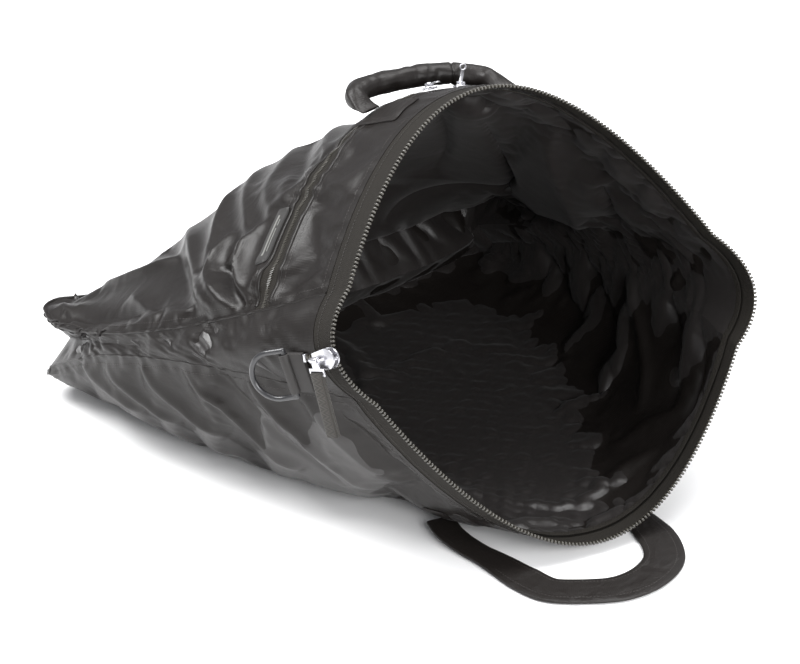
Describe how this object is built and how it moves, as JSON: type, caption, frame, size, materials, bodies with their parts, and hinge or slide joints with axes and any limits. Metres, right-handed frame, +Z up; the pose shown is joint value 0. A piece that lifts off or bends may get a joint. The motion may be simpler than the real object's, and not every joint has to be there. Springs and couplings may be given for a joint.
{
  "type": "flight helmet bag",
  "caption": "Soft dark nylon flight helmet bag lying on its back with its zipped mouth open, with a padded handle, a flat handle, a front pocket and strap rings.",
  "frame": {"origin": "centre of the underside, on the surface the bag lies on", "axes": "+X from the closed end to the mouth, +Z up out of the front panel, +Y to the bag's left when it is seen from the closed end"},
  "size_m": [0.5952, 0.5135, 0.3809],
  "materials": {
    "shell_nylon": "satin woven nylon",
    "lining_satin": "glossy satin nylon",
    "zip_tape": "matt herringbone weave",
    "zip_teeth": "moulded, soft gloss",
    "zip_metal": "satin nickel plate",
    "ring_metal": "black enamel, soft gloss",
    "webbing": "folded nylon over webbing",
    "handle_nylon": "satin woven nylon over padding",
    "label_rubber": "matt with raised grey marks",
    "thread": "polyester thread"
  },
  "bodies": {
    "bag": {"front_panel": "shell_nylon", "pocket_panel": "shell_nylon", "front_band": "shell_nylon", "back_panel": "shell_nylon", "right_gusset": "shell_nylon", "bottom_gusset": "shell_nylon", "left_gusset": "shell_nylon", "front_lining": "lining_satin", "back_lining": "lining_satin", "right_gusset_lining": "lining_satin", "bottom_gusset_lining": "lining_satin", "left_gusset_lining": "lining_satin", "pocket_tape": "zip_tape", "front_tape": "zip_tape", "back_tape": "zip_tape", "pocket_coil": "zip_teeth", "front_teeth": "zip_teeth", "back_teeth": "zip_teeth", "tail_teeth": "zip_teeth", "right_end_stop": "zip_metal", "left_end_stop": "zip_metal", "right_ring_loop": "webbing", "left_ring_loop": "webbing", "back_patch_right": "webbing", "back_patch_left": "webbing", "front_patch_right": "handle_nylon", "front_patch_left": "handle_nylon", "label": "label_rubber"},
    "main_slider": {"main_slider": "zip_metal"},
    "main_pull": {"main_pull": "zip_metal"},
    "pull_ribbon": {"pull_ribbon": "zip_tape"},
    "right_d_ring": {"right_d_ring": "ring_metal"},
    "left_d_ring": {"left_d_ring": "ring_metal"},
    "front_handle": {"front_handle": "handle_nylon"},
    "back_handle": {"back_handle": "webbing"},
    "pocket_slider_right": {"pocket_slider_right": "zip_metal"},
    "pocket_slider_left": {"pocket_slider_left": "zip_metal"},
    "pocket_pull_right": {"pocket_pull_right": "zip_metal"},
    "pocket_pull_left": {"pocket_pull_left": "zip_metal"}
  },
  "joints": [
    {"name": "main_slider_slide", "type": "slide", "parent": "bag", "child": "main_slider", "axis": [0.9067, 0.2795, 0.3158], "range_m": [-0.008, 0]},
    {"name": "main_pull_hinge", "type": "hinge", "parent": "main_slider", "child": "main_pull", "pos_m": [0.12334, -0.19511, 0.21117], "axis": [0.9067, 0.2795, 0.3158], "range_deg": [-120, 8]},
    {"name": "pull_ribbon_hinge", "type": "hinge", "parent": "main_pull", "child": "pull_ribbon", "pos_m": [0.12726, -0.19389, 0.19884], "axis": [0.9067, 0.2795, 0.3158], "range_deg": [-70, 12]},
    {"name": "right_d_ring_swing", "type": "hinge", "parent": "bag", "child": "right_d_ring", "pos_m": [0.08398, -0.19616, 0.18103], "axis": [-0.2764, -0.1717, 0.9456], "range_deg": [-10, 100]},
    {"name": "left_d_ring_swing", "type": "hinge", "parent": "bag", "child": "left_d_ring", "pos_m": [0.11373, 0.23993, 0.14901], "axis": [0.2075, -0.2129, -0.9548], "range_deg": [-10, 100]},
    {"name": "front_handle_swing", "type": "hinge", "parent": "bag", "child": "front_handle", "pos_m": [-0.0379, -0.04065, 0.3405], "axis": [0.0657, 0.9962, -0.0569], "range_deg": [-8, 100], "stiffness_Nm_per_rad": 0.6},
    {"name": "back_handle_swing", "type": "hinge", "parent": "bag", "child": "back_handle", "pos_m": [0.1141, -0.06465, 0.0105], "axis": [0.3013, 0.9521, -0.0524], "range_deg": [0, 45]},
    {"name": "pocket_slider_right_run", "type": "hinge", "parent": "bag", "child": "pocket_slider_right", "pos_m": [0.03553, 0.01014, 0.19487], "axis": [-0.8806, 0.0286, -0.4729], "range_deg": [-12, 2]},
    {"name": "pocket_pull_right_hinge", "type": "hinge", "parent": "pocket_slider_right", "child": "pocket_pull_right", "pos_m": [-0.0457, 0.02381, 0.34695], "axis": [0.0625, 0.9965, -0.0561], "range_deg": [-150, 0]},
    {"name": "pocket_slider_left_run", "type": "hinge", "parent": "bag", "child": "pocket_slider_left", "pos_m": [0.03553, 0.01014, 0.19487], "axis": [-0.8806, 0.0286, -0.4729], "range_deg": [-2, 5]},
    {"name": "pocket_pull_left_hinge", "type": "hinge", "parent": "pocket_slider_left", "child": "pocket_pull_left", "pos_m": [-0.04237, 0.05498, 0.34264], "axis": [0.147, 0.9654, -0.2154], "range_deg": [-80, 70]}
  ]
}
